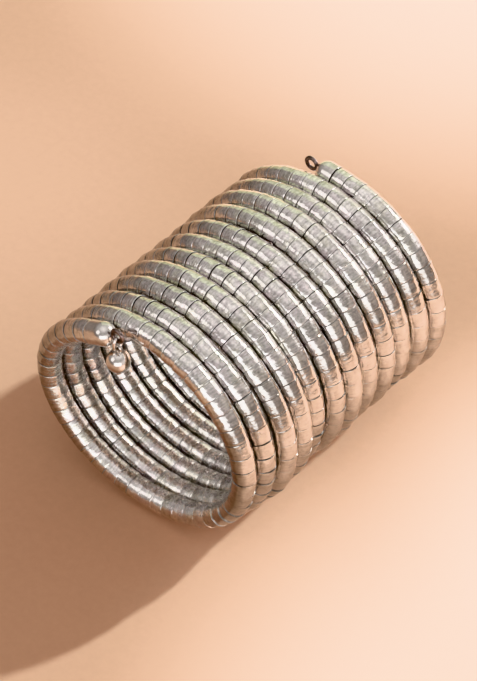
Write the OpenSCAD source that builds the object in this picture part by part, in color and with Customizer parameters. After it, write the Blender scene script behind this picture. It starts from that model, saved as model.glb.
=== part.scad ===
// Spiral bangle: a springy coil of short metal sleeves that nest end to end and wind twelve times
// round the wrist. Each end has a domed cap with a wire eye, and a small ball hangs in the front one.
// The bangle lies on its side: +Z is up, the wrist goes in along Y, the front opening faces -Y.

/* [Coil] */
// Distance from the middle of one turn to the middle of the next
turn_pitch = 6.6; // [6.2:0.1:7.2]
// Free space between two turns that lie side by side
turn_gap = 0.12; // [0.1:0.02:0.3]
// From the coil's axis to the middle of the tube, sideways
half_width = 31.2; // [29:0.2:34]
// From the coil's axis to the middle of the tube, upwards
half_height = 28.3; // [27:0.1:30]

/* [Sleeves] */
// Width of the dark joint between two sleeves
joint_gap = 0.3; // [0.2:0.05:0.4]
// How far the round neck in a joint lies below the sleeves
joint_depth = 0.35; // [0.2:0.05:0.5]

/* [End caps] */
// Straight part of the front cap, before its dome
front_cap_straight = 4.2; // [3:0.1:5]
// Straight part of the back cap, before its dome
back_cap_straight = 3.1; // [2.6:0.1:4]
// Depth of the hole in the dome that takes the eye's stem
stem_hole_depth = 1.6; // [1.2:0.1:2]

/* [Eyes] */
// Wire of an eye
eye_wire_d = 1.1; // [0.9:0.05:1.2]
// Eye from middle to middle of its wire
eye_width = 3.3; // [3.2:0.1:4]

/* [Jump ring] */
// Wire of the jump ring
link_wire_d = 0.8; // [0.6:0.05:0.85]
// Jump ring from middle to middle of its wire, the short way
link_width = 2.8; // [2.6:0.1:3.2]
// Straight stretch on each long side of the jump ring
link_straight = 1; // [0.6:0.1:1.6]

/* [Ball drop] */
// Ball across
ball_d = 6.3; // [5:0.1:6.6]
// Wire of the small loop on top of the ball
loop_wire_d = 0.6; // [0.5:0.05:0.7]
// Small loop from middle to middle of its wire
loop_width = 1.9; // [1.8:0.05:2.2]
// Pin head under the ball, across
pin_head_d = 2.2; // [1.4:0.1:2.4]

/* [Hidden] */
tube_r = (turn_pitch - turn_gap) / 2;
sleeves_per_turn = 46;
sleeve_count = 549;
turn_count = 12;

// Angles run round the coil from the top, first to the left, and grow by a full turn on each turn
full_turn = 360;
sleeve_angle = full_turn / sleeves_per_turn;
first_joint_angle = 28.9;
middle_angle = turn_count / 2 * full_turn;

// Moves the joints a little, so that all sleeves on the flattened coil are equally long
flatness = (half_width - half_height) / (half_width + half_height);
even_out = flatness * 180 / PI / 2;

// The turns aren't alike: each row says how far a turn stands out at its top, left, bottom and right
TURN = 0;
TOP = 1;
LEFT = 2;
BOTTOM = 3;
RIGHT = 4;
SWAY = [
    // turn, top, left, bottom, right
    [1, 0.1, 0.4, -1.2, -0.6],
    [2, 0, -0.2, 0, 0.1],
    [3, -0.4, 0, 0, 1.3],
    [4, 0.1, 0, 0, 0.7],
    [5, 0.4, 0, 0, -0.9],
    [6, -0.1, 0, 0, 0.3],
    [7, -0.3, 0, 0, 0.3],
    [8, -0.3, 0, 0, -0.2],
    [9, 0.5, 0, 0, 0.1],
    [10, 0.7, 0, 0, -0.4],
    [11, -0.2, 0, 0, 0.3],
    [12, -0.3, 0, 0, 0.6],
    [13, -0.7, 0, 0, 0]
];
QUARTERS = [TOP, LEFT, BOTTOM, RIGHT];
quarter_angle = full_turn / len(QUARTERS);

// Small spaces between pieces that touch or pass through each other
fit_gap = 0.08;
seam_gap = 0.1;
link_gap = 0.1;

// How much longer than its place a sleeve is drawn before its slanting ends are cut
end_spare = 0.8;
cutter_side = 4 * tube_r;
cutter_height = 4;

round_fn = 72;
wire_fn = 32;

function unit(v) = v / norm(v);

// Goes smoothly from 0 to 1
function eased(f) = (1 - cos(180 * f)) / 2;

// Row and column of the table for a count of quarter turns
function sway_cell(q) = SWAY[floor(q / len(QUARTERS))][QUARTERS[q % len(QUARTERS)]];

function sway_at(a) =
    let (q = floor(a / quarter_angle))
    let (f = eased(a / quarter_angle - q))
    sway_cell(q) * (1 - f) + sway_cell(q + 1) * f;

// Middle of the tube at an even angle along the coil, as seen from the coil's own axis
function coil_point(even) =
    let (a = even - even_out * sin(2 * even))
    let (out = sway_at(a))
    [-(half_width + out) * sin(a), turn_pitch * (a - middle_angle) / full_turn, (half_height + out) * cos(a)];

// Puts the middle of the coil over the origin and its lowest sleeves on the ground
COIL_JOINTS = [for (k = [0 : sleeve_count]) coil_point(first_joint_angle + k * sleeve_angle)];
joint_sides = [for (joint = COIL_JOINTS) joint[0]];
joint_lengths = [for (joint = COIL_JOINTS) joint[1]];
joint_heights = [for (joint = COIL_JOINTS) joint[2]];
to_origin = [
    -(min(joint_sides) + max(joint_sides)) / 2,
    -(min(joint_lengths) + max(joint_lengths)) / 2,
    tube_r - min(joint_heights)
];

// Joint 0 is the front cap's and the last one is the back cap's
function joint_point(k) = COIL_JOINTS[k] + to_origin;

// Direction of sleeve k, with the caps straight on from the first and the last sleeve
function along(k) =
    let (inner = min(max(k, 0), sleeve_count - 1))
    unit(joint_point(inner + 1) - joint_point(inner));

// Direction square to joint k, halfway between its two neighbours
function joint_normal(k) = unit(along(k - 1) + along(k));

// Stands what is drawn upright on a point, with its Z along a direction
module aim(point, direction) {
    tilt = acos(direction[2]);
    heading = atan2(direction[1], direction[0]);
    translate(point)
        rotate([0, tilt, heading])
            children();
}

// Everything beyond a plane through a joint, as seen along a direction
module beyond(k, offset, side) {
    normal = side * joint_normal(k);
    aim(joint_point(k) + offset * normal, normal)
        translate([-cutter_side / 2, -cutter_side / 2, 0])
            cube([cutter_side, cutter_side, cutter_height]);
}

// One straight sleeve between joint k and the next, with its ends cut to meet its neighbours
module sleeve(k) {
    direction = along(k);
    span = norm(joint_point(k + 1) - joint_point(k));
    difference() {
        aim(joint_point(k) - end_spare * direction, direction)
            cylinder(r = tube_r, h = span + 2 * end_spare, $fn = round_fn);
        beyond(k, -joint_gap / 2, -1);
        beyond(k + 1, -joint_gap / 2, 1);
    }
}

// The ball-shaped neck that shows in a joint
module neck(k) {
    aim(joint_point(k), joint_normal(k))
        sphere(r = tube_r - joint_depth, $fn = round_fn);
}

// A neck of which only the half on this piece's own side is kept
module half_neck(k, side) {
    difference() {
        neck(k);
        beyond(k, -seam_gap / 2, side);
    }
}

// One turn of the coil, from joint first to joint last
module sleeves(first, last) {
    union() {
        for (k = [first : last - 1])
            sleeve(k);
        for (k = [first + 1 : last - 1])
            neck(k);
        half_neck(first, -1);
        half_neck(last, 1);
    }
}

// A turn takes its full count of sleeves, and the last turn what is left
module turn(number) {
    first = (number - 1) * sleeves_per_turn;
    last = min(number * sleeves_per_turn, sleeve_count);
    color("Silver")
        sleeves(first, last);
}

// Straight part of the cap at a side; side is -1 at the front end of the coil and 1 at its back end
function cap_straight(side) = side < 0 ? front_cap_straight : back_cap_straight;

// A domed cap on joint k
module cap(k, side) {
    direction = side * along(side < 0 ? k : k - 1);
    stem_hole_r = eye_wire_d / 2 + fit_gap;
    difference() {
        union() {
            difference() {
                aim(joint_point(k) - end_spare * direction, direction)
                    cap_blank(cap_straight(side) + end_spare);
                beyond(k, -joint_gap / 2, -side);
            }
            half_neck(k, -side);
        }
        aim(joint_point(k) + (cap_straight(side) + tube_r - stem_hole_depth) * direction, direction)
            cylinder(r = stem_hole_r, h = 2 * stem_hole_depth, $fn = wire_fn);
    }
}

// A round bar with a domed end
module cap_blank(straight) {
    rotate_extrude($fn = round_fn) {
        square([tube_r, straight]);
        intersection() {
            translate([0, straight])
                circle(r = tube_r, $fn = round_fn);
            square([tube_r, straight + tube_r]);
        }
    }
}

// A closed ring of round wire in the plane of X and Y
module wire_ring(width, wire_d) {
    rotate_extrude($fn = round_fn)
        translate([width / 2, 0])
            circle(d = wire_d, $fn = wire_fn);
}

// Middle of the eye beyond the cap on joint k
function eye_middle(k, side) =
    let (direction = side * along(side < 0 ? k : k - 1))
    joint_point(k) + (cap_straight(side) + tube_r + fit_gap + (eye_wire_d + eye_width) / 2) * direction;

// A wire loop that lies in the plane of the turns, with a stem that reaches into its cap
module eye(k, side) {
    direction = side * along(side < 0 ? k : k - 1);
    stem = stem_hole_depth + eye_wire_d / 2;
    color("DimGray")
        union() {
            translate(eye_middle(k, side))
                rotate([90, 0, 0])
                    wire_ring(eye_width, eye_wire_d);
            aim(eye_middle(k, side) - (eye_width / 2 + stem - fit_gap) * direction, direction)
                cylinder(d = eye_wire_d - fit_gap, h = stem, $fn = wire_fn);
        }
}

// Half a ring of wire, with its open ends on X
module half_ring(width, wire_d) {
    rotate_extrude(angle = 180, $fn = round_fn)
        translate([width / 2, 0])
            circle(d = wire_d, $fn = wire_fn);
}

// Middle of the jump ring, which hangs in the lowest part of the front eye
front_eye_middle = eye_middle(0, -1);
link_top = front_eye_middle[2] - eye_width / 2 + (eye_wire_d + link_wire_d) / 2 + link_gap;
link_middle = [front_eye_middle[0], front_eye_middle[1], link_top - (link_width + link_straight) / 2];

module oval_ring() {
    union() {
        translate([0, link_straight / 2, 0])
            half_ring(link_width, link_wire_d);
        translate([0, -link_straight / 2, 0])
            rotate([0, 0, 180])
                half_ring(link_width, link_wire_d);
        for (side = [-1, 1])
            translate([side * link_width / 2, -link_straight / 2, 0])
                rotate([-90, 0, 0])
                    cylinder(d = link_wire_d, h = link_straight, $fn = wire_fn);
    }
}

// The ball hangs straight under the jump ring
link_bottom = link_middle[2] - (link_width + link_straight) / 2;
loop_top = link_bottom + (link_wire_d + loop_wire_d) / 2 + link_gap;
loop_middle = [link_middle[0], link_middle[1], loop_top - loop_width / 2];
loop_sunk = 0.15;
ball_drop_height = loop_width / 2 + loop_wire_d / 2 - loop_sunk + ball_d / 2;
ball_middle = loop_middle - [0, 0, ball_drop_height];
pin_head_out = 0.8;
pin_collar_d = 0.6 * pin_head_d;

module front_cap() {
    color("Silver")
        cap(0, -1);
}

module back_cap() {
    color("Silver")
        cap(sleeve_count, 1);
}

module front_eye() {
    eye(0, -1);
}

module back_eye() {
    eye(sleeve_count, 1);
}

module jump_ring() {
    color("DarkGray")
        translate(link_middle)
            rotate([90, 0, 90])
                oval_ring();
}

module ball_drop() {
    color("Gainsboro")
        union() {
            translate(ball_middle)
                sphere(d = ball_d, $fn = round_fn);
            translate(loop_middle)
                rotate([90, 0, 0])
                    wire_ring(loop_width, loop_wire_d);
            translate(ball_middle - [0, 0, ball_d / 2 + pin_head_out / 2])
                cylinder(d = pin_collar_d, h = pin_head_out, $fn = wire_fn);
            translate(ball_middle - [0, 0, ball_d / 2 + pin_head_out])
                cylinder(d = pin_head_d, h = pin_head_out / 2, $fn = wire_fn);
        }
}

module turn_01() {
    turn(1);
}

module turn_02() {
    turn(2);
}

module turn_03() {
    turn(3);
}

module turn_04() {
    turn(4);
}

module turn_05() {
    turn(5);
}

module turn_06() {
    turn(6);
}

module turn_07() {
    turn(7);
}

module turn_08() {
    turn(8);
}

module turn_09() {
    turn(9);
}

module turn_10() {
    turn(10);
}

module turn_11() {
    turn(11);
}

module turn_12() {
    turn(12);
}

turn_01();
turn_02();
turn_03();
turn_04();
turn_05();
turn_06();
turn_07();
turn_08();
turn_09();
turn_10();
turn_11();
turn_12();
front_cap();
back_cap();
front_eye();
back_eye();
jump_ring();
ball_drop();
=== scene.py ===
# %% [markdown]
# # A spiral bangle of nesting metal sleeves
# This lesson dresses a springy coil bracelet. The imported model gives its exact size and place,
# and Blender adds what a caliper doesn't see: burnished lips, dark joints, brushing, tarnish and
# some painted shade.
# Everything is in metres, in the frame of the imported model, so nothing is fitted by eye.

# %% Load the imported model
import math

import bpy
import numpy as np
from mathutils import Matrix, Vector


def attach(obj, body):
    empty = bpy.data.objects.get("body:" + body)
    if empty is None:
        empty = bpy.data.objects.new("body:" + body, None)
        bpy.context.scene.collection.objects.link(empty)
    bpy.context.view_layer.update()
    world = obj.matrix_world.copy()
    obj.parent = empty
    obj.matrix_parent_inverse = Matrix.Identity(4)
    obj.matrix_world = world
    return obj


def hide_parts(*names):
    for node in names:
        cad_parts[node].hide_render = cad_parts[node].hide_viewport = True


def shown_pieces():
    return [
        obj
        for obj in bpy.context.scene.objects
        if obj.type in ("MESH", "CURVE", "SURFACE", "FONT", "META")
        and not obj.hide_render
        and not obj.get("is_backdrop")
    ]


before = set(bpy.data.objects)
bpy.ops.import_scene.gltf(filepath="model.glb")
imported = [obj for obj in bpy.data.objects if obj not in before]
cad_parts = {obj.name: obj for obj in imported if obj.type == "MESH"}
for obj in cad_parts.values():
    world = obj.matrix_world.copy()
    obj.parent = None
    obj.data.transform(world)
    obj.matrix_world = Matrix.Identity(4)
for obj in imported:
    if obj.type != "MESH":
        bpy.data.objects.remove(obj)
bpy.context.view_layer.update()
MM = 0.001
print("nodes:", len(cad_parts))

# %% [markdown]
# ## Camera
# The photograph looks down on the bangle from the front right with a long lens, so the turns hardly
# shrink with distance. A camera is placed by the direction that it looks along, and its distance
# and lens are those at which the outlines of all twelve turns fall where the photograph has them.

# %% Camera
VIEW_AZIMUTH = 41.06
VIEW_ELEVATION = 46.68
VIEW_DISTANCE = 0.8964
VIEW_LENS = 186.4
FRAMING_RIGHT = -0.00107
FRAMING_UP = 0.00072
COIL_MIDDLE = Vector((-0.00045, -0.0003, 0.03152))


def aimed(back):
    """Rotation of an object whose Z axis points back, away from what it looks at."""
    return back.to_track_quat("Z", "Y").to_euler()


a, e = math.radians(VIEW_AZIMUTH), math.radians(VIEW_ELEVATION)
back = Vector((math.sin(a) * math.cos(e), -math.cos(a) * math.cos(e), math.sin(e)))
right = Vector((math.cos(a), math.sin(a), 0))
up = back.cross(right)
camera_data = bpy.data.cameras.new("camera")
camera_data.lens = VIEW_LENS
camera_data.clip_start = 0.01
camera = bpy.data.objects.new("camera", camera_data)
camera.location = COIL_MIDDLE + back * VIEW_DISTANCE + right * FRAMING_RIGHT + up * FRAMING_UP
camera.rotation_euler = aimed(back)
bpy.context.scene.collection.objects.link(camera)
bpy.context.scene.camera = camera
print("camera at", [round(c, 4) for c in camera.location])

# %% [markdown]
# ## Tone
# In the photograph the paper keeps its hue from shadow to light, and its copy in the metal is the
# same peach, only darker. A film-like curve would redden that copy. The neutral curve leaves
# colours up to white paper as they are, and only rolls off what is brighter.

# %% Tone
tone = bpy.context.scene.view_settings
tone.view_transform = "Khronos PBR Neutral"
tone.look = "None"
print("tone:", tone.view_transform)

# %% [markdown]
# ## Node helpers
# Finishes here are built from nodes. They could be wired by hand in the node editor, but a script
# is easier to repeat. The first helper adds one node, sets its sockets by name and links whatever
# is handed over as a socket. The others each add one common step.

# %% Node helpers
def add_node(tree, kind, inputs=None, **settings):
    """A new node: settings are its own properties, inputs its sockets by name or number."""
    node = tree.nodes.new(kind)
    for key, value in settings.items():
        setattr(node, key, value)
    for key, value in (inputs or {}).items():
        socket = node.inputs[key]
        if isinstance(value, bpy.types.NodeSocket):
            tree.links.new(value, socket)
        else:
            socket.default_value = value
    return node


def math_step(tree, operation, first, second=0.0):
    """One sum on two numbers or sockets."""
    return add_node(tree, "ShaderNodeMath", {0: first, 1: second}, operation=operation).outputs[0]


def vector_step(tree, operation, first, second):
    """One step on two directions, colours or sockets."""
    node = add_node(tree, "ShaderNodeVectorMath", {0: first, 1: second}, operation=operation)
    return node.outputs["Value" if operation == "DOT_PRODUCT" else "Vector"]


def fitted(tree, value, low, high, to_low, to_high, **settings):
    """A value brought from one range to another."""
    inputs = {"Value": value, "From Min": low, "From Max": high}
    inputs |= {"To Min": to_low, "To Max": to_high}
    return add_node(tree, "ShaderNodeMapRange", inputs, **settings).outputs[0]


steps = (add_node, math_step, vector_step, fitted)
print("steps ready:", ", ".join(step.__name__ for step in steps))

# %% [markdown]
# Every finish here starts empty, lays noise and colours over the piece's own place, and ends in
# one shader. Four more helpers do that, so that each finish reads as a short list.

# %% Helpers of every finish
def ramp(tree, value, stops):
    """A colour ramp from stops of (place, grey or colour)."""
    node = add_node(tree, "ShaderNodeValToRGB", {0: value})
    elements = node.color_ramp.elements
    while len(elements) < len(stops):
        elements.new(0.5)
    for element, (place, colour) in zip(elements, stops):
        element.position = place
        shade = (colour,) * 3 if isinstance(colour, (int, float)) else colour
        element.color = (*shade, 1)
    return node.outputs[0]


def noise_on(tree, place, scale, detail=3.0, roughness=0.55):
    """Cloudy noise over a place."""
    inputs = {"Vector": place, "Scale": scale, "Detail": detail, "Roughness": roughness}
    return add_node(tree, "ShaderNodeTexNoise", inputs).outputs["Fac"]


def empty_finish(name):
    """A material with no nodes yet, and the place on the piece that its patterns start from."""
    material = bpy.data.materials.new(name)
    material.use_nodes = True
    tree = material.node_tree
    tree.nodes.clear()
    return material, tree, add_node(tree, "ShaderNodeTexCoord").outputs["Object"]


def surface(tree, inputs):
    """The shader that ends a finish, with its sockets by name."""
    shader = add_node(tree, "ShaderNodeBsdfPrincipled", inputs)
    add_node(tree, "ShaderNodeOutputMaterial", {"Surface": shader.outputs[0]})


steps = (ramp, noise_on, empty_finish, surface)
print("steps ready:", ", ".join(step.__name__ for step in steps))

# %% [markdown]
# ## Floor
# The bangle lies on a sheet of pale warm paper. Polished silver shows its surroundings more than
# itself, so the paper's colour matters: it is what the lower half of every turn mirrors. A flat
# plane is enough. Broad clouds, fibres and a fine tooth keep it from looking like a flat fill.

# %% Floor
FLOOR_SIDE = 3.0
PAPER = (0.52, 0.303, 0.199)
PAPER_SHADE = (0.495, 0.287, 0.188)

paper, tree, place = empty_finish("warm_paper")
clouds = noise_on(tree, place, 9, 3, 0.5)
fibres = noise_on(tree, place, 420, 4, 0.7)
tooth = noise_on(tree, place, 1800, 2, 0.5)
cloudy = ramp(tree, clouds, [(0.3, PAPER_SHADE), (0.7, PAPER)])
fibre_shade = ramp(tree, fibres, [(0.25, 0.93), (0.75, 1.0)])
bump = add_node(tree, "ShaderNodeBump", {"Height": tooth, "Strength": 0.3, "Distance": 2e-5})
surface(tree, {
    "Base Color": vector_step(tree, "MULTIPLY", cloudy, fibre_shade),
    "Roughness": 0.9,
    "Normal": bump.outputs[0],
    "Specular IOR Level": 0.2,
})

half = FLOOR_SIDE / 2
corners = [(-half, -half, 0), (half, -half, 0), (half, half, 0), (-half, half, 0)]
floor_mesh = bpy.data.meshes.new("paper_floor")
floor_mesh.from_pydata(corners, [], [(0, 1, 2, 3)])
floor_mesh.materials.append(paper)
floor = bpy.data.objects.new("paper_floor", floor_mesh)
bpy.context.scene.collection.objects.link(floor)
floor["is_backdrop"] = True
print("floor:", FLOOR_SIDE, "m a side")

# %% [markdown]
# ## Light
# A mirror-like tube shows every lamp as a stripe, so the lamps are planned by where they stand and
# how bright they look, not by their power. The work is shared: cards that only the metal mirrors,
# a far key light, pools that only the floor shows, and a dim room round it all. First come the
# cards, which give the green and cream bands on the left of every turn. Each is a glowing
# rectangle that faces the bangle, and a glow of 1 looks as bright as white paper. A slanted one
# beside the key light stretches the key's own reflection into a streak.

# %% Cards that the metal mirrors
CARDS = [
    # name, azimuth, elevation, distance, width and height and slant in degrees, glow, colour
    ("green_card", 132, 18, 0.21, 40, 72, 0, 0.46, (0.86, 1, 0.56)),
    ("cream_card", 100, 9, 0.21, 26, 64, 0, 0.58, (1, 0.96, 0.82)),
    ("key_streak", 71, 17, 0.20, 11, 66, 36, 1.5, (1, 0.96, 0.92)),
]


def heading(azimuth, elevation):
    """Unit vector for an azimuth counted from +X towards +Y."""
    a, e = math.radians(azimuth), math.radians(elevation)
    return Vector((math.cos(a) * math.cos(e), math.sin(a) * math.cos(e), math.sin(e)))


def new_lamp(name, kind, colour, energy):
    """A lamp and the object that carries it."""
    lamp = bpy.data.lights.new(name, kind)
    lamp.color = colour
    lamp.energy = energy
    carrier = bpy.data.objects.new(name, lamp)
    bpy.context.scene.collection.objects.link(carrier)
    return lamp, carrier


for name, azimuth, elevation, distance, width, height, slant, glow, colour in CARDS:
    sides = [2 * distance * math.tan(math.radians(angle / 2)) for angle in (width, height)]
    lamp, card = new_lamp(name, "AREA", colour, glow * math.pi * sides[0] * sides[1])
    lamp.shape = "RECTANGLE"
    lamp.size, lamp.size_y = sides
    card.visible_camera = False
    card.visible_diffuse = False
    card.location = COIL_MIDDLE + heading(azimuth, elevation) * distance
    card.rotation_euler = aimed(heading(azimuth, elevation))
    card.rotation_euler.rotate_axis("Z", math.radians(slant))
    print(name, round(sides[0], 2), "by", round(sides[1], 2), "m")

# %% [markdown]
# The key light stands far off at the back right and throws the shadow to the near left. At the
# strength that the floor needs it would glint too hard in the metal. So two lamps share its place:
# one that only matt things show, and a wider one that only the metal mirrors.

# %% Key light
KEY_AZIMUTH = 71.3
KEY_ELEVATION = 30.6
KEY_PARTS = [
    # name, strength, width in degrees, colour, seen by the paper, seen by the metal
    ("key_on_paper", 5.4, 2.3, (0.80, 1, 1.05), True, False),
    ("key_on_metal", 2.6, 3.2, (1, 0.97, 0.94), False, True),
]
to_key = heading(KEY_AZIMUTH, KEY_ELEVATION)
for name, strength, width, colour, on_paper, on_metal in KEY_PARTS:
    lamp, key = new_lamp(name, "SUN", colour, strength)
    lamp.angle = math.radians(width)
    key.location = to_key
    key.rotation_euler = aimed(to_key)
    key.visible_diffuse = on_paper
    key.visible_glossy = on_metal
    print(name, "strength", strength)

# %% [markdown]
# The photograph's floor isn't evenly lit: it is nearly white at the right, in the front and at the
# back. Spot lamps straight above lay these soft round pools. They throw no shadow and don't show
# as lamps in the metal, which only mirrors the floor that they light.

# %% Pools on the floor
POOL_COLOUR = (0.74, 0.88, 1.02)
POOL_HEIGHT = 700
POOL_LAMP_R = 0.03
POOLS = [
    # name, where it falls in millimetres, cone in degrees, power, softness of its edge
    ("front_pool", (180, -21), 24.1, 150, 0.56),
    ("right_pool", (92, 52), 9.0, 130, 0.83),
    ("side_pool", (122, 130), 13, 150, 0.9),
    ("far_pool", (150, 240), 24, 260, 0.9),
    ("back_pool", (-82, 250), 27.3, 225, 1.0),
    ("beyond_pool", (350, 10), 34, 130, 0.9),
    ("left_pool", (-112, 20), 12, 7, 1.0),
]
for name, (x, y), cone, power, softness in POOLS:
    lamp, pool = new_lamp(name, "SPOT", POOL_COLOUR, power)
    lamp.spot_size = math.radians(cone)
    lamp.spot_blend = softness
    lamp.shadow_soft_size = POOL_LAMP_R
    lamp.use_shadow = False
    pool.location = Vector((x * MM, y * MM, POOL_HEIGHT * MM))
    pool.visible_glossy = False
print("pools on the floor:", len(POOLS))

# %% [markdown]
# Beyond the floor and the cards the metal mirrors the room. Its tone goes by height: as warm as the
# floor below the horizon, dim at eye level, and lighter towards the ceiling. Without it the metal
# would mirror black between the lamps.

# %% Dim room
ROOM_TONES = [
    # height from straight down to straight up, colour
    (0.0, (0.50, 0.31, 0.20)),
    (0.49, (0.50, 0.31, 0.20)),
    (0.51, (0.34, 0.28, 0.25)),
    (0.59, (0.35, 0.295, 0.265)),
    (0.69, (0.42, 0.375, 0.345)),
    (0.80, (0.56, 0.515, 0.485)),
    (0.90, (0.60, 0.56, 0.53)),
    (0.96, (0.92, 0.85, 0.81)),
    (1.0, (1.20, 1.12, 1.07)),
]
world = bpy.data.worlds.new("dim_room")
world.use_nodes = True
bpy.context.scene.world = world
room = world.node_tree
room.nodes.clear()
look_direction = add_node(room, "ShaderNodeTexCoord").outputs["Generated"]
look_height = add_node(room, "ShaderNodeSeparateXYZ", {0: look_direction}).outputs["Z"]
room_light = ramp(room, fitted(room, look_height, -1, 1, 0, 1), ROOM_TONES)
print("room tones:", len(ROOM_TONES))

# %% [markdown]
# Soft windows are added to the room: upright rectangles of light with wide, eased edges. The
# brightest stands under the camera and gives the long white stripes on the right of every turn,
# the next one lights the front of the coil's left side, and the faint ones lift the shades between.

# %% Soft windows
SOFT_WINDOWS = [
    # azimuth, elevation, half width and half height in degrees, softness, colour times glow
    (-53, 11, 27, 12.5, 0.4, (4.2, 4.25, 4.3)),
    (-120, 35, 11.5, 12, 0.5, (2.3, 2.17, 2.1)),
    (-64, -6, 24, 9, 0.8, (0.30, 0.26, 0.24)),
    (84, 36, 34, 26, 0.75, (0.16, 0.155, 0.14)),
    (4, 9, 43, 24, 0.45, (0.60, 0.52, 0.48)),
]


def window_share(azimuth, elevation, half_width, half_height, softness):
    """How much of a soft-edged window lies in each direction, from 0 to 1."""
    ahead = heading(azimuth, elevation)
    across = heading(azimuth + 90, 0)
    share = math_step(room, "GREATER_THAN", vector_step(room, "DOT_PRODUCT", look_direction, ahead))
    for side, half_angle in ((across, half_width), (ahead.cross(across), half_height)):
        away = math_step(room, "ABSOLUTE", vector_step(room, "DOT_PRODUCT", look_direction, side))
        reach = math.sin(math.radians(half_angle))
        edges = reach * (1 + softness), reach * (1 - softness)
        within = fitted(room, away, *edges, 0, 1, interpolation_type="SMOOTHSTEP")
        share = math_step(room, "MULTIPLY", share, within)
    return share


for *window, colour in SOFT_WINDOWS:
    light = vector_step(room, "MULTIPLY", window_share(*window), colour)
    room_light = vector_step(room, "ADD", room_light, light)
glow = add_node(room, "ShaderNodeBackground", {"Color": room_light})
add_node(room, "ShaderNodeOutputWorld", {"Surface": glow.outputs[0]})
print("soft windows:", len(SOFT_WINDOWS))

# %% [markdown]
# ## The coil's line
# On the real object 549 short sleeves are threaded on a hidden spring, which winds nearly twelve
# times round the wrist. A curve with an array could lay out copies of one sleeve, but here each
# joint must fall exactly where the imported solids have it. So the coil has the same measures as
# the solids: its pitch, its flattened circle, and a small sway that makes every turn different.

# %% Measures of the coil
TURN_PITCH = 6.6
TURN_GAP = 0.12
HALF_WIDTH = 31.2
HALF_HEIGHT = 28.3
TUBE_R = (TURN_PITCH - TURN_GAP) / 2
SLEEVES_PER_TURN = 46
SLEEVE_COUNT = 549
TURN_COUNT = 12
FULL_TURN = 360
SLEEVE_ANGLE = FULL_TURN / SLEEVES_PER_TURN
FIRST_JOINT_ANGLE = 28.9
MIDDLE_ANGLE = TURN_COUNT / 2 * FULL_TURN
FLATNESS = (HALF_WIDTH - HALF_HEIGHT) / (HALF_WIDTH + HALF_HEIGHT)
EVEN_OUT = math.degrees(FLATNESS) / 2
SWAY = np.array([
    # top, left, bottom and right of each turn, in millimetres outwards
    [0.1, 0.4, -1.2, -0.6],
    [0, -0.2, 0, 0.1],
    [-0.4, 0, 0, 1.3],
    [0.1, 0, 0, 0.7],
    [0.4, 0, 0, -0.9],
    [-0.1, 0, 0, 0.3],
    [-0.3, 0, 0, 0.3],
    [-0.3, 0, 0, -0.2],
    [0.5, 0, 0, 0.1],
    [0.7, 0, 0, -0.4],
    [-0.2, 0, 0, 0.3],
    [-0.3, 0, 0, 0.6],
    [-0.7, 0, 0, 0],
])
QUARTERS = SWAY.shape[1]
print("turns", round(SLEEVE_COUNT / SLEEVES_PER_TURN, 1), "tube", round(2 * TUBE_R, 2), "mm thick")

# %% [markdown]
# The line itself is a formula: an angle that runs on, evened out for the flattened circle, with
# the sway eased from each quarter of a turn to the next. It is read at every joint, and the row of
# points is then set down so that the tube just touches the floor.

# %% The coil's line
def sway_at(angle):
    """How far the coil stands out at an angle, eased between the quarters of a turn."""
    cells = SWAY.reshape(-1)
    quarter = angle * QUARTERS / FULL_TURN
    cell = int(quarter)
    share = (1 - math.cos(math.pi * (quarter - cell))) / 2
    return cells[cell] * (1 - share) + cells[cell + 1] * share


def coil_point(even):
    """Middle of the tube in millimetres, from the coil's own middle."""
    angle = even - EVEN_OUT * math.sin(math.radians(2 * even))
    out, turned = sway_at(angle), math.radians(angle)
    return (
        -(HALF_WIDTH + out) * math.sin(turned),
        TURN_PITCH * (angle - MIDDLE_ANGLE) / FULL_TURN,
        (HALF_HEIGHT + out) * math.cos(turned),
    )


even_angles = [FIRST_JOINT_ANGLE + k * SLEEVE_ANGLE for k in range(SLEEVE_COUNT + 1)]
joint_points = np.array([coil_point(angle) for angle in even_angles])
lowest, highest = joint_points.min(0), joint_points.max(0)
joint_points += (
    -(lowest[0] + highest[0]) / 2,
    -(lowest[1] + highest[1]) / 2,
    TUBE_R - lowest[2],
)
print("joints:", len(joint_points), "highest", round(float(joint_points[:, 2].max()), 2), "mm")

# %% [markdown]
# Every sleeve is straight, so the coil is really a chain of 549 chords. Each sleeve gets a
# direction along its chord, and each joint a direction halfway between its two sleeves. Two more
# directions round the tube, one outwards and one along the coil's axis, keep the rings of points
# from twisting.

# %% Directions along and round the tube
COIL_AXIS = np.array([0.0, 1.0, 0.0])


def unit(rows):
    """Rows of vectors brought to length 1."""
    return rows / np.linalg.norm(rows, axis=-1, keepdims=True)


chords = np.diff(joint_points, axis=0)
sleeve_length = np.linalg.norm(chords, axis=1)
along = unit(chords)
joint_normal = unit(np.vstack([along[:1], along]) + np.vstack([along, along[-1:]]))
sideways = unit(COIL_AXIS - (along @ COIL_AXIS)[:, None] * along)
outwards = np.cross(sideways, along)
middles = (joint_points[1:] + joint_points[:-1]) / 2 - np.array([0, 0, joint_points[:, 2].mean()])
outwards *= np.sign((outwards * middles).sum(1, keepdims=True))
print("sleeve length", sleeve_length.min().round(3), "to", sleeve_length.max().round(3), "mm")

# %% [markdown]
# ## Sleeves
# A sleeve is a drawn tube cut to four millimetres. Its ends were rolled in, so a bright burnished
# lip runs round both, and between two sleeves a narrow groove shows the dark neck. One end is a
# trace narrower, where it tucks behind its neighbour. Spinning a profile would make one sleeve,
# but no two are alike, so a turn is built from rings: each row below is one ring, given by how far
# it lies from the joint and how far under the full radius.

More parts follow.
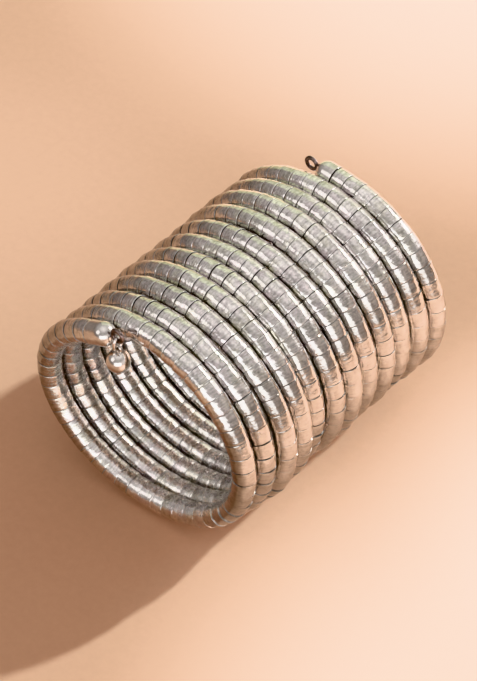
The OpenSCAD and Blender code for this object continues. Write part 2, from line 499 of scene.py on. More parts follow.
# %% Profile of one sleeve
ROUND = 40
GROOVE_DROP = 0.36
LIP_DROP = 0.07
TUCKED_DROP = 0.16
BODY_DROP = 0.10
START, END = 0, 1
SLEEVE_PROFILE = [
    # end, distance from the joint's edge, drop below the full radius, lip, groove
    (START, -0.015, 0.33, 0, 1),
    (START, 0.0, 0.25, 0, 0.7),
    (START, 0.02, TUCKED_DROP + 0.07, 0, 0.6),
    (START, 0.07, TUCKED_DROP + 0.035, 0.2, 0.3),
    (START, 0.14, TUCKED_DROP + 0.012, 0.3, 0),
    (START, 0.24, TUCKED_DROP - 0.005, 0.3, 0),
    (START, 0.45, TUCKED_DROP - 0.03, 0.2, 0),
    (START, 1.4, BODY_DROP, 0, 0),
    (END, 1.4, BODY_DROP - 0.01, 0, 0),
    (END, 0.45, LIP_DROP + 0.01, 0.2, 0),
    (END, 0.24, LIP_DROP + 0.012, 0.7, 0),
    (END, 0.14, LIP_DROP + 0.03, 1, 0),
    (END, 0.07, LIP_DROP + 0.06, 1, 0.2),
    (END, 0.02, LIP_DROP + 0.105, 0.5, 0.6),
    (END, 0.0, 0.23, 0, 0.7),
    (END, -0.015, 0.33, 0, 1),
]
angles_round = np.linspace(0, 2 * math.pi, ROUND, endpoint=False)
out_round, side_round = np.cos(angles_round), np.sin(angles_round)
print("rings in a sleeve:", len(SLEEVE_PROFILE), "points in a ring:", ROUND)

# %% [markdown]
# Bending opens the joints on the outside of the coil and closes them towards its hollow. In the
# photograph they also stand open more at the upper left of every turn than at the right. So each
# joint gets a width, a depth and an amount of dirt from how far it is opened, by its place on the
# turn and by chance. Where a joint is closed, its rings sink only to a shallow line.

# %% Joints that open with the bend
NARROWEST_JOINT = 0.02
WIDEST_JOINT = 0.20
OPENED_SIDE = 60
CHANCE_SEED = 549
NEVER_LESS_OPENED = 0.45
MOSTLY_LITTLE = 4
SOON_FULL = 2.5
CLOSED_DIRT = 0.05
CLOSED_DEPTH = 0.25
CLOSED_DROP = {START: 0.14, END: 0.10}
INNER_DEPTH = 0.56
INNER_DIRT = 0.36


def clipped(values):
    """Values held between 0 and 1."""
    return np.clip(values, 0, 1)


def between(low, high, share):
    """A value as far from low to high as the share says."""
    return low + (high - low) * share


chance = np.random.default_rng(CHANCE_SEED)
joint_angle = np.radians(np.array(even_angles) - OPENED_SIDE)
luck = chance.uniform(0, 1, SLEEVE_COUNT + 1) ** MOSTLY_LITTLE
opened = (1 + np.cos(joint_angle)) / 2 * between(NEVER_LESS_OPENED, 1, luck)
joint_half = between(NARROWEST_JOINT, WIDEST_JOINT, opened)
joint_dirt = between(CLOSED_DIRT, 1, clipped(SOON_FULL * opened))
joint_depth = between(CLOSED_DEPTH, 1, clipped(SOON_FULL * opened))
depth_round = between(INNER_DEPTH, 1, (1 + out_round) / 2)
dirt_round = between(INNER_DIRT, 1, (1 + out_round) / 2)
print("half width of the joints", joint_half.min().round(3), "to", joint_half.max().round(3), "mm")

# %% [markdown]
# Hand-made sleeves are never in line. Each is tilted by up to a fifth of a millimetre at its ends,
# and shifted and flattened by about a hundredth. That is what breaks the long reflections into
# short steps. Its tone differs a little from its neighbours' too.

# %% Chance in every sleeve
LEAST_TILT, MOST_TILT = 0.01, 0.2
MOST_SHIFT = 0.012
MOST_OVAL = 0.008
sleeve_tilt = chance.uniform(LEAST_TILT, MOST_TILT, SLEEVE_COUNT)
tilt_heading = chance.uniform(0, 2 * math.pi, SLEEVE_COUNT)
sleeve_shift = chance.uniform(0.0, MOST_SHIFT, SLEEVE_COUNT)
shift_heading = chance.uniform(0, 2 * math.pi, SLEEVE_COUNT)
sleeve_oval = chance.uniform(-MOST_OVAL, MOST_OVAL, SLEEVE_COUNT)
sleeve_tone = chance.uniform(0, 1, SLEEVE_COUNT)
print("mean tilt of a sleeve's end:", sleeve_tilt.mean().round(3), "mm")

# %% [markdown]
# A ring at the start of a sleeve lies in the plane of its first joint, and a ring at the end in
# the plane of the next. So the sleeve's ends come out slightly slanted, as the bend of the coil
# needs. However it is tilted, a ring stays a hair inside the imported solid.

# %% One ring of a sleeve
HAIR = 0.02


def ring_points(k, side, inset, radius):
    """Points of one ring of sleeve k, in the plane of the joint at that side."""
    spokes = out_round[:, None] * outwards[k] + side_round[:, None] * sideways[k]
    out = spokes * np.reshape(radius, (-1, 1))
    normal = joint_normal[k + side]
    facing = along[k] @ normal
    if side == START:
        travel = (inset - out @ normal) / facing
    else:
        travel = sleeve_length[k] - (inset + out @ normal) / facing
    return joint_points[k] + out + travel[:, None] * along[k]


def uneven_radius(k, share, drop):
    """Radius round a ring, with the sleeve's own tilt, shift and ovality."""
    tilted = sleeve_tilt[k] * (2 * share - 1) * np.cos(angles_round - tilt_heading[k])
    shifted = sleeve_shift[k] * np.cos(angles_round - shift_heading[k])
    oval = sleeve_oval[k] * np.cos(2 * angles_round)
    return np.minimum(TUBE_R - drop + tilted + shifted + oval, TUBE_R - HAIR)


example = uneven_radius(0, 0.5, BODY_DROP)
print("radius round sleeve 0:", example.min().round(3), "to", example.max().round(3), "mm")

# %% [markdown]
# The coil's two outer sides get painted shade, and the lines where turns nearly touch get dirt and
# painted shade. How much of that a point gets could be painted on by hand. Here it is worked out as
# numbers from 0 to about 1, which treat all 549 sleeves alike.

# %% Where the metal is dull, dirty and painted darker
TOUCHING = 0.985
FADE_SLEEVES = 8
FADE_EARLY = 5
# Where the painted shade of the two sides starts and where it is full, in millimetres in X.
LEFT_SHADED = (-10, -30)
RIGHT_SHADED = (17, 31)
RIGHT_SHADE_SHARE = 1.2
OUTER_REACH = 0.8
KEPT_BRIGHT = 0.9
BRIGHT_FROM = 0.1
INNER_RISE = 1.5


def eased(share):
    """A share from 0 to 1 that starts and ends gently."""
    return share * share * (3 - 2 * share)


def dirt_and_shade_between_turns(k):
    """Dirt and painted shade where sleeve k nearly touches another turn, as numbers round a ring.
    """
    before = clipped((k - SLEEVES_PER_TURN + FADE_EARLY) / FADE_SLEEVES)
    after = clipped((SLEEVE_COUNT - SLEEVES_PER_TURN + FADE_EARLY - k) / FADE_SLEEVES)
    near = clipped((np.abs(side_round) - TOUCHING) / (1 - TOUCHING))
    return near * np.where(side_round > 0, after, before)


def painted_shade_of_flanks(points):
    """How much painted shade the outer metal gets at the coil's two sides, going by millimetres in
    X.
    """
    outer = clipped(out_round + OUTER_REACH)
    kept_bright = 1 - KEPT_BRIGHT * clipped(2 * (side_round - BRIGHT_FROM))
    left, right = (
        eased(clipped((points[:, 0] - clean) / (full - clean)))
        for clean, full in (LEFT_SHADED, RIGHT_SHADED)
    )
    return outer * (left + RIGHT_SHADE_SHARE * kept_bright * right)


inside_round = clipped(-INNER_RISE * out_round)
print("points of a ring that face the hollow:", int((inside_round > 0).sum()), "of", ROUND)

# %% [markdown]
# Now one whole sleeve can be made: every row of its profile becomes a ring, deeper where the joint
# is opened and shallower where it is closed, with its numbers beside it.

# %% All rings of a sleeve
def sleeve_rings(k):
    """Rings of sleeve k: the points of each and, in the order of MESH_NUMBERS, its numbers."""
    rings = []
    for side, inset, drop, lip, groove in SLEEVE_PROFILE:
        joint = k + side
        edge = joint_half[joint] + inset
        share = edge / sleeve_length[k] if side == START else 1 - edge / sleeve_length[k]
        closed = CLOSED_DROP[side]
        sunk = closed + (drop - closed) * joint_depth[joint] * depth_round
        drop = np.where(drop > closed, sunk, drop)
        radius = uneven_radius(k, share, drop) if groove < 1 else TUBE_R - drop
        points = ring_points(k, side, edge, radius)
        way = sleeve_length[:k].sum() + share * sleeve_length[k]
        dirt = groove * joint_dirt[joint] * dirt_round
        # Dirt and painted shade between turns, painted shade on the sides, and the inside that is
        # rougher.
        dull_and_shaded = dirt_and_shade_between_turns(k), painted_shade_of_flanks(points), inside_round
        rings.append((points, lip, dirt, way, sleeve_tone[k], *dull_and_shaded))
    return rings


print("rings in sleeve 0:", len(sleeve_rings(0)))

# %% [markdown]
# ## From rings to a mesh
# Rings of equally many points join into a skin of four-sided faces. Each ring also carries the
# numbers that the finish reads later: where the lips and grooves are, how far along the coil it
# lies, the tone of its sleeve, how dull it is and how much painted shade it gets. A UV map gives
# the direction along the tube.

# %% From rings to a mesh
CREASE = math.radians(38)
MESH_NUMBERS = ("lip", "groove", "way", "tone", "crevice", "flank", "inside")
WAY_PLACE = 1 + MESH_NUMBERS.index("way")


def skin_faces(ring_total, per_ring):
    """Faces between rings that follow each other, each ring closed on itself."""
    ring, spot = np.meshgrid(np.arange(ring_total - 1), np.arange(per_ring), indexing="ij")
    after = (spot + 1) % per_ring
    here, there = ring * per_ring, (ring + 1) * per_ring
    return np.stack([here + spot, there + spot, there + after, here + after], -1).reshape(-1, 4)


def lay_uv(mesh, rings, per_ring):
    """U runs along the tube in millimetres, V once round it."""
    corners = np.empty(len(mesh.loops), np.int32)
    mesh.loops.foreach_get("vertex_index", corners)
    ways = np.array([ring[WAY_PLACE] for ring in rings])
    u = ways[corners // per_ring]
    v = (corners % per_ring) / per_ring
    quads = (len(rings) - 1) * per_ring * 4
    wrapped = v[:quads].reshape(-1, 4)
    once_more = (wrapped == 0) & (wrapped.max(1, keepdims=True) > 0.5)
    v[:quads] += once_more.reshape(-1)
    layer = mesh.uv_layers.new(name="along_and_round")
    layer.uv.foreach_set("vector", np.stack([u, v], -1).astype(np.float32).ravel())


def ring_mesh(name, rings, finish, closed=(True, True)):
    """One piece from rings of points in mm and their numbers, 0 for those not given."""
    per_ring = len(rings[0][0])
    points = np.concatenate([ring[0] for ring in rings]) * MM
    faces = skin_faces(len(rings), per_ring).tolist()
    if closed[0]:
        faces.append(list(range(per_ring)))
    if closed[1]:
        last = (len(rings) - 1) * per_ring
        faces.append(list(range(last + per_ring - 1, last - 1, -1)))
    mesh = bpy.data.meshes.new(name)
    mesh.from_pydata(points.tolist(), [], faces)
    for index, label in enumerate(MESH_NUMBERS, 1):
        given = [ring[index] if index < len(ring) else 0 for ring in rings]
        numbers = np.concatenate([np.broadcast_to(row, per_ring) for row in given])
        carried = mesh.attributes.new(label, "FLOAT", "POINT")
        carried.data.foreach_set("value", numbers.astype(np.float32))
    lay_uv(mesh, rings, per_ring)
    mesh.materials.append(finish)
    mesh.shade_smooth()
    mesh.set_sharp_from_angle(angle=CREASE)
    piece = bpy.data.objects.new(name, mesh)
    bpy.context.scene.collection.objects.link(piece)
    return piece


print("numbers on every mesh:", ", ".join(MESH_NUMBERS))

# %% [markdown]
# ## Silver finish of the sleeves
# The metal is silver-coloured, brushed round each sleeve and worn by handling. A painted picture
# would have to be very large to be sharp on 549 sleeves. So the finish is worked out by nodes from
# the piece's own place and the numbers on its mesh, in layers of wear and of painted shade. First
# come the helpers that the metals share.

# %% Helpers of the metal finishes
MIX_SHARE, MIX_FIRST, MIX_SECOND, MIX_RESULT = 0, 6, 7, 2


def number_on_mesh(tree, label):
    """The number of that name which the mesh carries."""
    return add_node(tree, "ShaderNodeAttribute", attribute_name=label).outputs["Fac"]


def plus_share(tree, value, share, other):
    """A value with a share of another added to it."""
    return math_step(tree, "ADD", value, math_step(tree, "MULTIPLY", other, share))


def blended(tree, share, first, second):
    """A colour between two colours, each a socket or three numbers."""
    inputs = {MIX_SHARE: share}
    for place, colour in ((MIX_FIRST, first), (MIX_SECOND, second)):
        is_socket = isinstance(colour, bpy.types.NodeSocket)
        inputs[place] = colour if is_socket else (*colour, 1)
    return add_node(tree, "ShaderNodeMix", inputs, data_type="RGBA").outputs[MIX_RESULT]


def fourfold_noise(tree, place, scale, fourth, detail=2.0):
    """Noise over a place and a fourth number, which can start it anew or draw it into lines."""
    sized = vector_step(tree, "MULTIPLY", place, (scale,) * 3)
    inputs = {"Vector": sized, "W": fourth, "Scale": 1.0, "Detail": detail}
    return add_node(tree, "ShaderNodeTexNoise", inputs, noise_dimensions="4D").outputs["Fac"]


def bumped(tree, height, distance, strength=1.0, under=None):
    """A bump in metres, on top of another where one is handed over."""
    inputs = {"Height": height, "Distance": distance, "Strength": strength}
    if under is not None:
        inputs["Normal"] = under
    return add_node(tree, "ShaderNodeBump", inputs).outputs[0]


print("sockets of a blend:", MIX_SHARE, MIX_FIRST, MIX_SECOND, "and its result", MIX_RESULT)

# %% [markdown]
# Six patterns lie over the sleeves. Clouds and tints are broad patches of tarnish, stains are
# small. Dents and dimples start anew on every sleeve, because each was struck before it was
# threaded. Brushed lines change quickly along the coil and slowly round it.

# %% Patterns on the sleeves
DIFFERENT_SLEEVES = 60.0
LINES_PER_MM = 2.6

sleeve_silver, tree, place = empty_finish("brushed_sleeve_silver")
lip, groove, way, own_tone, crevice, flank, inside = (
    number_on_mesh(tree, label) for label in MESH_NUMBERS
)
clouds = noise_on(tree, place, 170, 4)
tints = noise_on(tree, place, 260, 3)
stains = noise_on(tree, place, 900, 4, 0.7)
per_sleeve = math_step(tree, "MULTIPLY", own_tone, DIFFERENT_SLEEVES)
dents = fourfold_noise(tree, place, 380, per_sleeve)
dimples = fourfold_noise(tree, place, 1300, per_sleeve)
lines = fourfold_noise(tree, place, 260, math_step(tree, "MULTIPLY", way, LINES_PER_MM), 3)
print("nodes of the patterns:", len(tree.nodes))

# %% [markdown]
# The colour starts as silver between dull and bright, with a tone of its own for every sleeve.
# Olive and lilac tarnish, painted shade on the two sides, stains and lines are then laid over it
# one by one, and dirt with painted shade between the turns. The dirt of the joints comes last,
# because it covers all the others.

# %% Colour of the sleeves
SILVER = (0.84, 0.83, 0.82)
SILVER_DULL = (0.62, 0.61, 0.60)
OLIVE_TARNISH = (0.62, 0.61, 0.52)
LILAC_TARNISH = (0.67, 0.61, 0.64)
# Painted shade on the coil's two outer sides.
FLANK_PAINTED_SHADE = (0.27, 0.255, 0.24)
# Dirt and painted shade where turns nearly touch.
CREVICE_DIRT_AND_SHADE = (0.06, 0.05, 0.043)
JOINT_DIRT = (0.022, 0.018, 0.016)
TONE_SHARE = 0.45
MOST_TINT = 0.5
CREVICE_SHARE = 0.1
DIRT_RAGGED = 0.2

bright = fitted(tree, plus_share(tree, clouds, TONE_SHARE, own_tone), 0.45, 0.95, 0, 1)
silver = blended(tree, bright, SILVER_DULL, SILVER)
silver = blended(tree, fitted(tree, tints, 0.35, 0.5, MOST_TINT, 0), silver, OLIVE_TARNISH)
silver = blended(tree, fitted(tree, tints, 0.5, 0.65, 0, MOST_TINT), silver, LILAC_TARNISH)
# Painted shade: the outer metal on the coil's two sides is darkened.
flank_share = math_step(tree, "MULTIPLY", flank, fitted(tree, clouds, 0.3, 0.7, 0.7, 1.0))
silver = blended(tree, flank_share, silver, FLANK_PAINTED_SHADE)
stained = fitted(tree, stains, 0.44, 0.72, 1.06, 0.66)
lined = fitted(tree, lines, 0.34, 0.56, 0.82, 1.05)
silver = vector_step(tree, "MULTIPLY", silver, math_step(tree, "MULTIPLY", stained, lined))
# Dirt and painted shade darken the lines where turns nearly touch.
crevice_share = math_step(tree, "MULTIPLY", crevice, CREVICE_SHARE)
silver = blended(tree, crevice_share, silver, CREVICE_DIRT_AND_SHADE)
dirt = fitted(tree, plus_share(tree, groove, DIRT_RAGGED, stains), 0.2, 1.0, 0, 1)
silver = blended(tree, dirt, silver, JOINT_DIRT)
print("nodes with the colour:", len(tree.nodes))

# %% [markdown]
# The gloss follows the wear: rubbed lips shine most, stains, dirt and the unrubbed inside less.
# Dents, dimples and lines only bend the reflections, so bumps do for them, without more points in
# the mesh. Metal brushed round a tube draws its highlights out along it. That is what the tangent
# does, which takes its direction from the UV map.

# %% Gloss and relief of the sleeves
EDGE_TINT = (1, 0.96, 0.93)
DENT_DEPTH = 2.4e-4
DIMPLE_DEPTH = 4.5e-5
LINE_DEPTH = 5e-5
NOT_METAL = -0.6

stain_rough = fitted(tree, stains, 0.3, 0.7, 0.10, 0.22)
rough = math_step(tree, "ADD", stain_rough, fitted(tree, lines, 0.3, 0.7, 0, 0.04))
for share, wear in ((-0.03, lip), (0.4, dirt), (0.15, crevice), (0.09, inside)):
    rough = plus_share(tree, rough, share, wear)
relief = bumped(tree, dents, DENT_DEPTH)
relief = bumped(tree, dimples, DIMPLE_DEPTH, under=relief)
relief = bumped(tree, lines, LINE_DEPTH, under=relief)
brushing = add_node(tree, "ShaderNodeTangent", direction_type="UV_MAP", uv_map="along_and_round")
surface(tree, {
    "Base Color": silver,
    "Metallic": plus_share(tree, 1.0, NOT_METAL, dirt),
    "Roughness": rough,
    "Normal": relief,
    "Specular Tint": (*EDGE_TINT, 1),
    "Anisotropic": 0.5,
    "Tangent": brushing.outputs[0],
})
print("sleeve finish nodes:", len(tree.nodes))

# %% [markdown]
# ## The twelve turns
# Each turn is a piece of its own and stands for the solid of the same name. At its two ends the
# last neck closes it, a hair short of the joint, so that two turns meet but never overlap.

# %% Build the twelve turns
SEAM_HALF = 0.03


def neck_end(k, side):
    """The flat end of a turn's last neck."""
    points = ring_points(k, side, SEAM_HALF, np.full(ROUND, TUBE_R - GROOVE_DROP))
    return (points, 0, 1, sleeve_length[: k + side].sum(), sleeve_tone[k])


def turn_rings(first, last):
    """All rings of the sleeves from joint first to joint last."""
    rings = [neck_end(first, START)]
    for k in range(first, last):
        rings += sleeve_rings(k)
    return rings + [neck_end(last - 1, END)]


for number in range(1, TURN_COUNT + 1):
    first = (number - 1) * SLEEVES_PER_TURN
    last = min(number * SLEEVES_PER_TURN, SLEEVE_COUNT)
    turn = ring_mesh(f"sleeves_of_turn_{number:02d}", turn_rings(first, last), sleeve_silver)
    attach(turn, "root")
    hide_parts(f"turn_{number:02d}")
print("turns made:", TURN_COUNT, "with", SLEEVE_COUNT, "sleeves")

# %% [markdown]
# ## Finish of the caps, the ring and the ball
# These small parts were polished, not brushed. Rubbed patches, pits and a few hairline scratches
# keep them from looking like chrome. One recipe serves all three, with two greys and a shine of
# its own for each.

# %% Finish of the caps, the ring and the ball
HAIRLINE_STRETCH = (900, 5200, 1400)
PIT_SHADE = (0.18, 0.155, 0.14)
POLISHED = [
    # name, clean grey, worn grey, roughness where it shines most
    ("polished_cap_silver", (0.72, 0.705, 0.69), (0.50, 0.48, 0.465), 0.13),
    ("jump_ring_silver", (0.76, 0.74, 0.73), (0.48, 0.45, 0.43), 0.14),
    ("ball_silver", (0.78, 0.765, 0.75), (0.52, 0.50, 0.48), 0.11),
]


def polished_finish(name, clean, worn, shine):
    """Polished silver with rubbed patches, pits and a few hairline scratches."""
    material, tree, place = empty_finish(name)
    groove, lip = number_on_mesh(tree, "groove"), number_on_mesh(tree, "lip")
    clouds = noise_on(tree, place, 340, 4)
    pits = noise_on(tree, place, 2600, 2, 0.6)
    hairs = noise_on(tree, vector_step(tree, "MULTIPLY", place, HAIRLINE_STRETCH), 0.5, 3)
    silver = blended(tree, fitted(tree, clouds, 0.38, 0.72, 0, 1), clean, worn)
    silver = blended(tree, fitted(tree, pits, 0.62, 0.78, 0, 0.4), silver, PIT_SHADE)
    dirt = fitted(tree, plus_share(tree, groove, DIRT_RAGGED, clouds), 0.3, 1.0, 0, 1)
    silver = blended(tree, dirt, silver, JOINT_DIRT)
    rubbed = math_step(tree, "ADD", clouds, hairs)
    rough = fitted(tree, rubbed, 0.7, 1.3, shine, shine + 0.12)
    for share, wear in ((0.4, dirt), (-0.03, lip)):
        rough = plus_share(tree, rough, share, wear)
    relief = bumped(tree, hairs, 4e-6, 0.6, bumped(tree, clouds, 3e-5))
    inputs = {"Base Color": silver, "Metallic": 1.0, "Roughness": rough, "Normal": relief}
    surface(tree, inputs)
    return material


cap_silver, ring_silver, ball_silver = (polished_finish(*row) for row in POLISHED)
print("polished finishes:", ", ".join(row[0] for row in POLISHED))

# %% [markdown]
# ## End caps
# Each end of the coil is closed by a domed cap, about as long as a sleeve before its dome begins
# and better polished. A cap could be a half sphere on a cylinder, but its foot follows the
# slanting joint and its dome has a small hole for the eye's stem. So it gets a profile, as the
# sleeves have.

# %% Profile of a cap
CAP_STRAIGHT = {START: 4.2, END: 3.1}
EYE_WIRE_D = 1.1
FIT_GAP = 0.08
STEM_HOLE_DEPTH = 1.6
STEM_HOLE_R = EYE_WIRE_D / 2 + FIT_GAP
HOLE_RIM = 0.06
CAP_JOINT = 0.15
CAP_ROUND = 64
DOME_STEPS = 20
CAP_FOOT = [
    # distance from the joint's edge, drop below the full radius, lip, groove
    (-0.04, 0.36, 0, 1),
    (0.0, 0.22, 0, 0.9),
    (0.03, 0.09, 0.4, 0.8),
    (0.09, 0.03, 1, 0.3),
    (0.2, 0.005, 0.6, 0),
    (0.5, 0.02, 0, 0),
]
STEM_HOLE = [
    # depth below the top, wider than the hole by, lip, groove
    (0.05, 0.01, 0.6, 0.4),
    (0.15, 0, 0, 0.9),
    (STEM_HOLE_DEPTH, 0, 0, 1),
]
print("straight part of the caps:", CAP_STRAIGHT[START], "and", CAP_STRAIGHT[END], "mm")

# %% [markdown]
# The rings of the foot lie slanted in the joint's plane, all others level across the cap. They
# follow each other up the foot, the straight part and the dome, and down into the hole.

# %% Rings of a cap
def cap_rings(k, side):
    """Rings from the foot of a cap on joint k to the bottom of its stem hole."""
    sleeve = k - side
    sign = -1 if side == START else 1
    axis = sign * along[sleeve]
    normal = sign * joint_normal[k]
    turned = np.linspace(0, 2 * math.pi, CAP_ROUND, endpoint=False) * -sign
    spokes = np.cos(turned)[:, None] * outwards[sleeve] + np.sin(turned)[:, None] * sideways[sleeve]

    def foot(inset, radius):
        out = spokes * radius
        travel = (inset - out @ normal) / (axis @ normal)
        return joint_points[k] + out + travel[:, None] * axis

    def level(height, radius):
        return joint_points[k] + spokes * radius + height * axis

    rings = [(foot(SEAM_HALF, TUBE_R - GROOVE_DROP), 0, 1, 0)]
    for inset, drop, lip, groove in CAP_FOOT:
        rings.append((foot(CAP_JOINT + inset, TUBE_R - drop), lip, groove, inset))
    straight, body_r = CAP_STRAIGHT[side], TUBE_R - HAIR
    for height in (straight / 2, straight):
        rings.append((level(height, body_r), 0, 0, height))
    last_bend = math.acos((STEM_HOLE_R + HOLE_RIM) / TUBE_R)
    for bend in np.linspace(0, last_bend, DOME_STEPS + 1)[1:]:
        height = straight + TUBE_R * math.sin(bend)
        rings.append((level(height, body_r * math.cos(bend)), 0, 0, height))
    top = straight + TUBE_R
    for depth, wider, lip, groove in STEM_HOLE:
        rings.append((level(top - depth, STEM_HOLE_R + wider), lip, groove, top))
    return rings


print("rings in a cap:", len(cap_rings(0, START)))

# %% [markdown]
# Both ends are made by the same lines. The front cap sits on the first joint and points back, the
# other sits on the last one and points on.

# %% Build the caps
ENDS = {"front": (0, START), "back": (SLEEVE_COUNT, END)}
for end, (k, side) in ENDS.items():
    name, node = f"domed_{end}_cap", f"{end}_cap"
    cap = ring_mesh(name, cap_rings(k, side), cap_silver)
    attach(cap, "root")
    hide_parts(node)
    print(name, "faces", len(cap.data.polygons))

# %% [markdown]
# ## Eyes
# A short wire stands in the tip of each cap and ends in a closed loop. A bevelled curve would make
# it in one step, but a piece also needs a UV map and the numbers that the finishes read. So rings
# of points are swept along a line, and a stem and a loop are then joined into one piece.

# %% Sweep a wire along a line
WIRE_ROUND = 20


def swept_rings(path, wire_r, guide=COIL_AXIS):
    """Rings of a round wire along a path of points, kept square to it without twisting."""
    path = np.asarray(path, float)
    guide = np.asarray(guide, float)
    ahead = unit(np.gradient(path, axis=0))
    side_one = unit(guide - (ahead @ guide)[:, None] * ahead)
    side_two = np.cross(ahead, side_one)
    turned = np.linspace(0, 2 * math.pi, WIRE_ROUND, endpoint=False)
    radii = np.broadcast_to(wire_r, len(path))
    ways = np.concatenate([[0], np.cumsum(np.linalg.norm(np.diff(path, axis=0), axis=1))])
    rings = []
    for point, one, two, radius, way in zip(path, side_one, side_two, radii, ways):
        circle = point + radius * (np.cos(turned)[:, None] * one + np.sin(turned)[:, None] * two)
        rings.append((circle, 0, 0, way))
    return rings


def join_parts(name, parts, finish):
    """Several ring meshes, each with its closed ends, joined into one piece."""
    pieces = [
        ring_mesh(f"{name}_part_{i}", rings, finish, closed)
        for i, (rings, closed) in enumerate(parts)
    ]
    with bpy.context.temp_override(active_object=pieces[0], selected_editable_objects=pieces):
        bpy.ops.object.join()
    pieces[0].name = name
    pieces[0].data.name = name
    return pieces[0]


print("points round a wire:", WIRE_ROUND)

# %% [markdown]
# The wire of the eyes has darkened, almost to brown. Its colour lies between a dark brown and a
# rubbed pinkish grey, mixed by clouds and a fine grain.

# %% Dark wire finish
WIRE_DARK = (0.075, 0.06, 0.055)
WIRE_RUBBED = (0.30, 0.245, 0.235)

dark_wire, tree, place = empty_finish("darkened_wire")
clouds = noise_on(tree, place, 900, 4)
grain = noise_on(tree, place, 5200, 3, 0.6)
rubbed = fitted(tree, plus_share(tree, clouds, 0.3, grain), 0.5, 0.85, 0, 1)
surface(tree, {
    "Base Color": blended(tree, rubbed, WIRE_DARK, WIRE_RUBBED),
    "Metallic": 1.0,
    "Roughness": fitted(tree, grain, 0.3, 0.7, 0.24, 0.42),
    "Normal": bumped(tree, grain, 1e-5, 0.8),
})
print("dark wire nodes:", len(tree.nodes))

# %% [markdown]
# An eye's loop lies in the plane across the coil's axis, and its stem reaches down into the cap's
# hole, a trace thinner than the loop so that it clears the wall.

# %% Build the eyes
EYE_WIDTH = 3.3
EYE_STEPS = 64
STEM_STEPS = 12


def eye_middle(k, side):
    """Middle of an eye and the way that its cap points, in millimetres."""
    axis = along[k - side] * (-1 if side == START else 1)
    reach = CAP_STRAIGHT[side] + TUBE_R + FIT_GAP + (EYE_WIRE_D + EYE_WIDTH) / 2
    return joint_points[k] + reach * axis, axis


def eye_line(middle, axis):
    """Middle line of an eye's loop, from the stem once round and back."""
    flat_axis = unit(np.array([axis[0], 0, axis[2]]))
    across = np.cross(COIL_AXIS, flat_axis)
    turned = np.linspace(math.pi, 3 * math.pi, EYE_STEPS)
    return [
        middle + EYE_WIDTH / 2 * (math.cos(t) * flat_axis + math.sin(t) * across) for t in turned
    ]


def stem_line(middle, axis):
    """Middle line of an eye's stem, from inside the cap to the loop."""
    deepest = EYE_WIDTH / 2 + STEM_HOLE_DEPTH + EYE_WIRE_D / 2 - FIT_GAP
    return [middle - reach * axis for reach in np.linspace(deepest, EYE_WIDTH / 2, STEM_STEPS)]


for end, (k, side) in ENDS.items():
    name, node = f"{end}_wire_eye", f"{end}_eye"
    middle, axis = eye_middle(k, side)
    loop = swept_rings(eye_line(middle, axis), EYE_WIRE_D / 2)
    stem = swept_rings(stem_line(middle, axis), (EYE_WIRE_D - FIT_GAP) / 2)
    eye = join_parts(name, [(loop, (False, False)), (stem, (True, True))], dark_wire)
    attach(eye, "root")
    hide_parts(node)
    print(name, "middle in mm", middle.round(2))

# %% [markdown]
# ## Jump ring
# An oval ring of silver wire, bent open and closed again with pliers, hangs in the lowest part of
# the front eye. The line where its ends meet is the mark of a real jump ring, so the wire is a
# tenth thinner there, which a torus couldn't be. It lies in the plane across the eye, as a link in
# another link always does.

# %% Build the jump ring
LINK_WIRE_D = 0.8
LINK_WIDTH = 2.8
LINK_STRAIGHT = 1.0
LINK_GAP = 0.1
LINK_MEETING = 0.9
BEND_STEPS = 20

front_eye, _ = eye_middle(*ENDS["front"])
link_top = front_eye[2] - EYE_WIDTH / 2 + (EYE_WIRE_D + LINK_WIRE_D) / 2 + LINK_GAP
link_half = (LINK_WIDTH + LINK_STRAIGHT) / 2
link_middle = np.array([front_eye[0], front_eye[1], link_top - link_half])

bend_r = LINK_WIDTH / 2
bends = np.linspace(0, math.pi, BEND_STEPS)
upper = [(bend_r * math.cos(t), LINK_STRAIGHT / 2 + bend_r * math.sin(t)) for t in bends]
lower = [(-y, -z) for y, z in upper]
oval = [(bend_r, 0), *upper, *lower, (bend_r, 0)]
link_line = [link_middle + np.array([0, y, z]) for y, z in oval]
link_radius = np.full(len(link_line), LINK_WIRE_D / 2)
link_radius[[0, -1]] *= LINK_MEETING
link = ring_mesh("oval_jump_ring", swept_rings(link_line, link_radius, (1, 0, 0)), ring_silver)
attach(link, "root")
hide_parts("jump_ring")
print("jump ring middle in mm", link_middle.round(2))

# %% [markdown]
# ## Ball drop
# A small polished ball hangs from the jump ring. A pin goes through it: its head shows underneath
# as a little disc on a collar, and on top its wire is bent into the loop. A ready-made sphere and
# two discs would do for the ball and the head, but turned from one profile, as on a lathe, they
# are one skin.

# %% Profile of the ball and its pin
BALL_D = 6.3
LOOP_WIRE_D = 0.6
LOOP_WIDTH = 1.9
LOOP_SUNK = 0.15
PIN_HEAD_D = 2.2
PIN_HEAD_OUT = 0.8
BALL_STEPS = 40
BALL_HAIR = 0.01

loop_top = link_middle[2] - link_half + (LINK_WIRE_D + LOOP_WIRE_D) / 2 + LINK_GAP
loop_middle = np.array([link_middle[0], link_middle[1], loop_top - LOOP_WIDTH / 2])
loop_to_ball = LOOP_WIDTH / 2 + LOOP_WIRE_D / 2 - LOOP_SUNK + BALL_D / 2
ball_middle = loop_middle - np.array([0, 0, loop_to_ball])

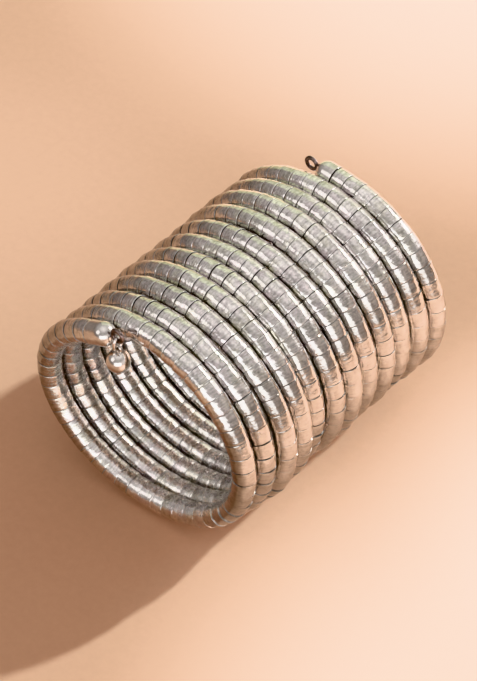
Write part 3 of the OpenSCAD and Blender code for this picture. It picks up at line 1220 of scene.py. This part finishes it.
ball_r = BALL_D / 2 - BALL_HAIR
ball_bottom = -BALL_D / 2
collar_r = 0.3 * PIN_HEAD_D
head_r = PIN_HEAD_D / 2
head_bottom = ball_bottom - PIN_HEAD_OUT
head_top = head_bottom + PIN_HEAD_OUT / 2
bends = np.linspace(0.04, math.pi - 0.2, BALL_STEPS)
ball_profile = [(ball_r * math.sin(t), ball_r * math.cos(t)) for t in bends]
ball_profile += [
    # radius and height from the ball's middle, from the collar down to the pin's head
    (collar_r + 0.05, ball_bottom + 0.02),
    (collar_r, ball_bottom - 0.06),
    (collar_r, head_top + 0.04),
    (head_r - 0.12, head_top),
    (head_r - 0.02, head_top - 0.05),
    (head_r, head_bottom + PIN_HEAD_OUT / 4),
    (head_r - 0.04, head_bottom + 0.05),
    (head_r - 0.14, head_bottom),
    (0.05, head_bottom),
]
print("ball middle in mm", ball_middle.round(2), "rings", len(ball_profile))

# %% [markdown]
# The loop on top is swept like the eyes, and both become one piece. A little dirt is set where the
# pin's collar meets the ball, as a polishing cloth never gets in there.

# %% Build the ball drop
BALL_ROUND = 64
COLLAR_DIRT = 0.6
COLLAR_REACH = 0.8
DIRT_BELOW, DIRT_ABOVE = 0.3, 0.08

turned = np.linspace(0, 2 * math.pi, BALL_ROUND, endpoint=False)
circle = np.stack([np.cos(turned), np.sin(turned), np.zeros(BALL_ROUND)], -1)
ball_rings = []
for radius, height in reversed(ball_profile):
    level = ball_bottom - DIRT_BELOW < height < ball_bottom + DIRT_ABOVE
    dirt = COLLAR_DIRT if level and radius < COLLAR_REACH else 0
    points = ball_middle + radius * circle + np.array([0, 0, height])
    ball_rings.append((points, 0, dirt, height))

turned = np.linspace(0, 2 * math.pi, EYE_STEPS)
loop_line = [
    loop_middle + LOOP_WIDTH / 2 * np.array([math.sin(t), 0, -math.cos(t)]) for t in turned
]
loop_rings = swept_rings(loop_line, LOOP_WIRE_D / 2)
parts = [(ball_rings, (True, True)), (loop_rings, (False, False))]
ball = join_parts("ball_drop_on_pin", parts, ball_silver)
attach(ball, "root")
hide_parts("ball_drop")
print("ball drop faces", len(ball.data.polygons))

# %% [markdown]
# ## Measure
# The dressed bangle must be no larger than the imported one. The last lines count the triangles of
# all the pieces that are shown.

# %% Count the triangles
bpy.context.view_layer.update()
triangles = sum(len(p.vertices) - 2 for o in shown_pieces() for p in o.data.polygons)
print("triangles:", triangles)
